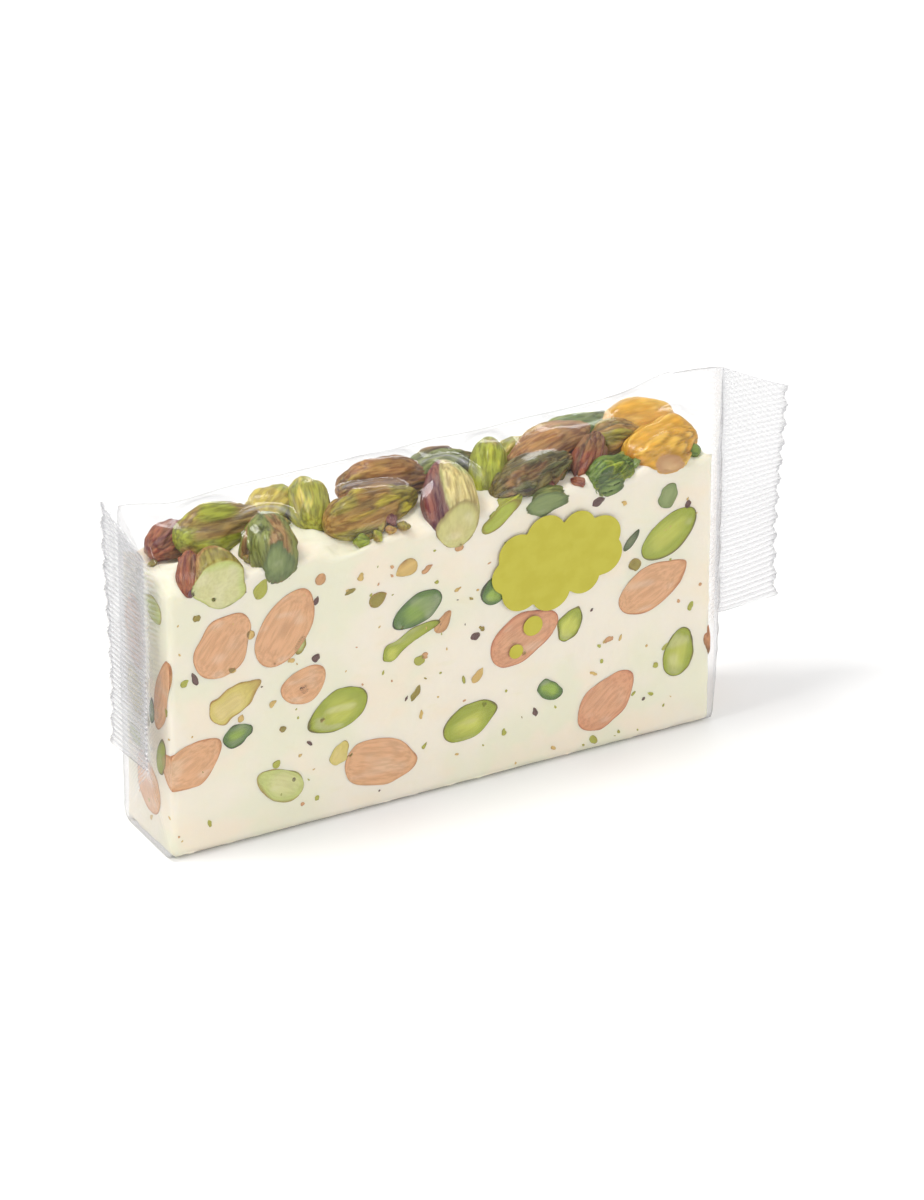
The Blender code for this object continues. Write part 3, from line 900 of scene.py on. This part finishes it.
def film_loop(centre, heading, half_depth, low, front_top, back_top, body, drape, fin, ribbed, teeth):
    """One loop of the film, front side first, then over the top, down the back and underneath.

    body is 1 round the bar and 0 at a fin; fin is how far out on the fin the loop is, from 0 to 1,
    and ribbed is how deep its ribs are.
    """
    x0, y0 = centre
    way = np.array([math.cos(heading), math.sin(heading)])
    back = np.array([-way[1], way[0]])
    cut = CORNER * body
    share = np.linspace(0.0, 1.0, FILM_SIDE + 1)
    tooth = np.abs((share * TEETH) % 1.0 - 0.5) * 2.0 * teeth

    def side(sign, top):
        height = low + cut * 0.5 + (top - cut * 0.5 - low - cut * 0.5) * share
        corner = cut * np.maximum(1.0 - share * 40.0, 0.0) + cut * np.maximum(share * 40.0 - 39.0, 0.0)
        offset = sign * (half_depth - 0.6 * corner)
        offset = offset + sign * body * film_front(np.full_like(height, x0), height)
        if sign > 0:
            seam_rib = 0.12 * np.sin(2.0 * np.pi * height / 0.9)
            offset = offset + body * sealed(height) * (0.35 + seam_rib)
        rib = RIB_DEPTH * np.sin(2.0 * np.pi * height / RIB_PITCH) * ribbed
        pleat = noise(flat_points(x0 * 0.5, 0.0, height), (3.0, 3.0, 3.2), 24.0)
        gather = 1.1 * (1.0 - body) * (1.0 - fin) * (np.abs(pleat) - 0.3) * np.minimum(1.0, half_depth)
        curl = (1.2 if x0 > 0.0 else 0.5) * fin**2 * np.sin(2.0 * np.pi * (height - low) / 62.0 + 0.6)
        offset = offset + rib + gather + curl
        return offset, height

    reach = half_depth - 0.6 * cut
    top_share = np.linspace(0.0, 1.0, FILM_TOP_STEPS + 1)[1:-1]
    top_y = -reach + 2.0 * reach * top_share
    plain = front_top + (back_top - front_top) * top_share
    if body > 0.0:
        draped = drape.at(x0, y0 + top_y * body)
        ear = EAR_LIFT * ramp(abs(x0), EAR_START, BODY_LENGTH / 2.0) * top_share
        top_z = plain * (1.0 - body) + (draped + ear) * body
    else:
        top_z = plain
    bottom_share = np.linspace(0.0, 1.0, FILM_BOTTOM_STEPS + 1)[1:-1]
    bottom_y = reach - 2.0 * reach * bottom_share

    front_offset, front_z = side(-1.0, front_top)
    back_offset, back_z = side(1.0, back_top)
    stripes = [ribbed * (0.5 + np.sin(2.0 * np.pi * z / RIB_PITCH)) for z in (front_z, back_z)]
    behind = (stripes[1] + body * sealed(back_z))[::-1]
    mark = np.concatenate([stripes[0], 0 * top_y, behind, 0 * bottom_y])
    offset = np.concatenate([front_offset, top_y, back_offset[::-1], bottom_y])
    height = np.concatenate([front_z, top_z, back_z[::-1], np.full_like(bottom_y, low)])
    push = np.concatenate([tooth, 0 * top_y, tooth[::-1], 0 * bottom_y])
    x = x0 + back[0] * offset + way[0] * push
    y = y0 + back[1] * offset + way[1] * push
    return np.stack([x, y, height], axis=1), mark


def film_end(side, drape):
    """The loops of a gusset and its fin, from the bar outwards."""
    right = side > 0
    gusset = RIGHT_GUSSET if right else LEFT_GUSSET
    shift = 0.0 if right else LEFT_GUSSET_SHIFT
    turn = RIGHT_FIN_TURN if right else LEFT_FIN_TURN
    root_top = RIGHT_FIN_ROOT_TOP if right else LEFT_FIN_ROOT_TOP
    edge_top = RIGHT_FIN_EDGE_TOP if right else LEFT_FIN_EDGE_TOP
    crest = CREST_HEIGHT + EAR_LIFT - 0.5
    loops, crimp_hazes_and_crease_highlights = [], []
    for i in range(1, GUSSET_LOOPS + 1):
        t = i / GUSSET_LOOPS
        x = side * (BODY_LENGTH / 2.0 + gusset * t)
        half = (BODY_DEPTH / 2.0) * (1.0 - t) ** 0.9 + FIN_HALF * t
        low = FIN_LOW * t**1.15
        front_top = FRONT_HEIGHT + (root_top - FRONT_HEIGHT) * t
        back_top = crest + (root_top - crest) * t
        ribbed = (0.3 if right else 0.9) * float(ramp(t, 0.15, 0.9))
        place = (x, shift * t)
        loop, mark = film_loop(place, 0.0, half, low, front_top, back_top, 1.0 - t, drape, 0.0, ribbed, 0.0)
        loops.append(loop)
        # Crimped film gets hazier outwards; the sharp rise at the gusset's outer end is a painted crease
        # highlight, a line of extra haze where the fin begins.
        crimp_hazes_and_crease_highlights.append(mark + 0.4 * t + 2.0 * math.exp(-(((1.0 - t) / 0.12) ** 2)))
    for i in range(1, FIN_LOOPS + 1):
        t = i / FIN_LOOPS
        x = side * (BODY_LENGTH / 2.0 + gusset + math.cos(turn) * FIN_WIDTH * t)
        y = shift + math.sin(turn) * FIN_WIDTH * t
        top = root_top + (edge_top - root_top) * t - 0.4 * t * (1.0 - t)
        teeth = side * TOOTH_DEPTH if i == FIN_LOOPS else 0.0
        loop, mark = film_loop((x, y), side * turn, FIN_HALF, FIN_LOW, top, top, 0.0, drape, t, 1.0, teeth)
        loops.append(loop)
        # On the fin: crimp haze, with the painted crease highlight dying away over its first loops.
        crimp_hazes_and_crease_highlights.append(mark + 0.7 + 2.0 * math.exp(-((t / 0.06) ** 2)))
    return loops, crimp_hazes_and_crease_highlights


def build_film(material, drape):
    """The sealed film as one thin closed skin."""
    count = round(BODY_LENGTH / FILM_STEP)
    body, body_crimp = [], []
    for i in range(count + 1):
        x = -BODY_LENGTH / 2.0 + BODY_LENGTH * i / count
        front_top = max(FRONT_HEIGHT, float(drape.at(x, np.array([-BODY_DEPTH / 2.0]))[0]) - 0.3)
        crest = float(drape.at(x, np.array([BODY_DEPTH / 2.0]))[0])
        crest += EAR_LIFT * float(ramp(abs(x), EAR_START, BODY_LENGTH / 2.0))
        half = BODY_DEPTH / 2.0
        loop, mark = film_loop((x, 0.0), 0.0, half, 0.0, front_top, crest, 1.0, drape, 0.0, 0.0, 0.0)
        body.append(loop)
        body_crimp.append(mark)
    left, left_haze_and_highlight = film_end(-1, drape)
    right, right_haze_and_highlight = film_end(1, drape)
    loops = left[::-1] + body + right
    crimp_haze_and_crease_highlight = left_haze_and_highlight[::-1] + body_crimp + right_haze_and_highlight
    ring = len(loops[0])
    faces = tube(len(loops), ring)
    side = FILM_SIDE + 1
    for start, flip in ((0, False), ((len(loops) - 1) * ring, True)):
        front = [start + k for k in range(side)]
        rear = [start + side + FILM_TOP_STEPS - 1 + k for k in range(side)][::-1]
        for k in range(side - 1):
            face = (front[k], rear[k], rear[k + 1], front[k + 1])
            faces.append(face[::-1] if flip else face)
        top = [start + side + k for k in range(FILM_TOP_STEPS - 1)]
        top_face = [front[-1], rear[-1]] + top[::-1]
        low = [start + ring - 1 - k for k in range(FILM_BOTTOM_STEPS - 1)]
        low_face = [front[0]] + low + [rear[0]]
        faces.append(top_face[::-1] if flip else top_face)
        faces.append(low_face[::-1] if flip else low_face)
    marks = {"crimp_haze_and_crease_highlight": np.concatenate(crimp_haze_and_crease_highlight)}
    add_piece("film", np.vstack(loops), faces, material, marks=marks)


# The print: a cloud of round lobes and two dots, by x and z on the film's front
CLOUD_MIDDLE = (20.4, 37.6)
CLOUD_HALF_LENGTH = 9.0
CLOUD_HALF_HEIGHT = 5.2
CLOUD_TILT = math.radians(5.0)
LOBES = 9
LOBE_RADIUS = 3.5
DOTS = ((1.8, (16.0, 26.6)), (1.3, (12.9, 22.6)))
PRINT_GAP = 0.04


def film_wall_y(x, z):
    """Where the film's front wall is, as y."""
    return -(BODY_DEPTH / 2.0 + film_front(x, z))


def printed_shape(outline, centre, rings):
    """Points and faces of a printed field that lies on the film's front wall.

    outline holds x and z round the field's middle, which is at centre.
    """
    count = len(outline)
    shares = np.linspace(0.0, 1.0, rings + 1)[1:]
    flat = np.vstack([[[0.0, 0.0]]] + [outline * share for share in shares])
    x, z = flat[:, 0] + centre[0], flat[:, 1] + centre[1]
    points = flat_points(x, film_wall_y(x, z) - PRINT_GAP, z)
    faces = [(0, 1 + j, 1 + (j + 1) % count) for j in range(count)]
    return points, faces + tube(rings, count, 1)


def build_print(material):
    """The film's print, as plain fields of colour: a scalloped cloud and two dots."""
    angle = np.linspace(0.0, 2.0 * math.pi, 180, endpoint=False)
    way = np.stack([np.cos(angle), np.sin(angle)], axis=1)
    reach = np.zeros(len(angle))
    for k in range(LOBES):
        at = 2.0 * math.pi * k / LOBES + 0.35
        middle = np.array([CLOUD_HALF_LENGTH * math.cos(at), CLOUD_HALF_HEIGHT * math.sin(at)])
        radius = LOBE_RADIUS + 0.35 * math.cos(3.0 * at)
        along = way @ middle
        inside = radius**2 - (middle @ middle - along**2)
        reach = np.maximum(reach, np.where(inside > 0.0, along + np.sqrt(np.maximum(inside, 0.0)), 0.0))
    cos, sin = math.cos(CLOUD_TILT), math.sin(CLOUD_TILT)
    turn = np.array([[cos, -sin], [sin, cos]])
    shapes = [(way * reach[:, None] @ turn.T, CLOUD_MIDDLE, 14)]
    for radius, centre in DOTS:
        shapes.append((way[::4] * radius, centre, 4))
    points, faces, count = [], [], 0
    for outline, centre, rings in shapes:
        some, round_them = printed_shape(outline, centre, rings)
        points.append(some)
        faces.extend([tuple(i + count for i in face) for face in round_them])
        count += len(some)
    add_piece("printed_cloud", np.vstack(points), faces, material)


# ---------------------------------------------------------------- studio


def build_studio():
    """A pale floor, a white surround, a key light from the upper left and two weaker ones."""
    floor_mesh = bpy.data.meshes.new("floor")
    half = 4.0
    corners = [(-half, -half, 0), (half, -half, 0), (half, half, 0), (-half, half, 0)]
    floor_mesh.from_pydata(corners, [], [(0, 1, 2, 3)])
    floor = bpy.data.objects.new("floor", floor_mesh)
    bpy.context.scene.collection.objects.link(floor)
    s = Shader("floor")
    s.fill(s.surface, {"Base Color": (0.9, 0.9, 0.9, 1.0), "Roughness": 0.6, "Specular IOR Level": 0.2})
    floor_mesh.materials.append(s.material)

    world = bpy.data.worlds.new("studio")
    world.use_nodes = True
    world.node_tree.nodes["Background"].inputs["Color"].default_value = (1.0, 1.0, 1.0, 1.0)
    world.node_tree.nodes["Background"].inputs["Strength"].default_value = 0.82
    bpy.context.scene.world = world

    def softbox(name, place, aim, size, power, colour=(1.0, 1.0, 1.0)):
        light = bpy.data.lights.new(name, "AREA")
        light.shape = "RECTANGLE"
        light.size, light.size_y = size
        light.energy = power
        light.color = colour
        lamp = bpy.data.objects.new(name, light)
        lamp.location = place
        away = np.array(place) - np.array(aim)
        lamp.rotation_euler = (
            math.atan2(math.hypot(away[0], away[1]), away[2]),
            0.0,
            math.atan2(away[1], away[0]) + math.pi / 2.0,
        )
        bpy.context.scene.collection.objects.link(lamp)

    middle = (0.0, 0.0, 0.03)
    softbox("key", (-0.5, 0.1, 1.0), middle, (0.36, 0.36), 6.5, (1.0, 0.985, 0.96))
    softbox("fill", (0.35, -1.3, 0.7), middle, (0.9, 0.6), 2.6)
    softbox("glint", (0.55, 0.85, 0.66), middle, (0.5, 0.12), 1.4)


def build_camera():
    """A long lens from the front left, looking down on the bar."""
    azimuth, elevation, distance = math.radians(-28.5), math.radians(27.5), 1.16
    low, high = (np.array(corner) for corner in CAD_BOX)
    aim = (low + high) / 2.0 + np.array([0.0, 0.0, -0.001])
    away = np.array([
        math.sin(azimuth) * math.cos(elevation),
        -math.cos(azimuth) * math.cos(elevation),
        math.sin(elevation),
    ])
    data = bpy.data.cameras.new("camera")
    data.lens = 212.0
    data.sensor_width = 36.0
    camera = bpy.data.objects.new("camera", data)
    camera.location = aim + away * distance
    camera.rotation_euler = (math.pi / 2.0 - elevation, 0.0, azimuth)
    bpy.context.scene.collection.objects.link(camera)
    bpy.context.scene.camera = camera


def main():
    bpy.context.scene.view_settings.view_transform = "Standard"
    build_camera()
    build_studio()
    nougat = nougat_material()
    pistachio = nut_material("pistachio", 0.34, 0.52, 0.55, 0.15, 0.16)
    golden = nut_material("golden_nut", 0.26, 0.40, 0.2, 0.1, 0.08)
    almond = nut_material("almond", 0.5, 0.62, 0.3, 0.28, 0.1)
    build_slab(nougat)
    heaps = top_nuts(pistachio, golden)
    front_sections(pistachio, almond)
    other_sections(pistachio, almond)
    heaps += crumbs(pistachio)
    drape = Drape(heaps)
    build_film(film_material(), drape)
    build_print(print_material())


main()
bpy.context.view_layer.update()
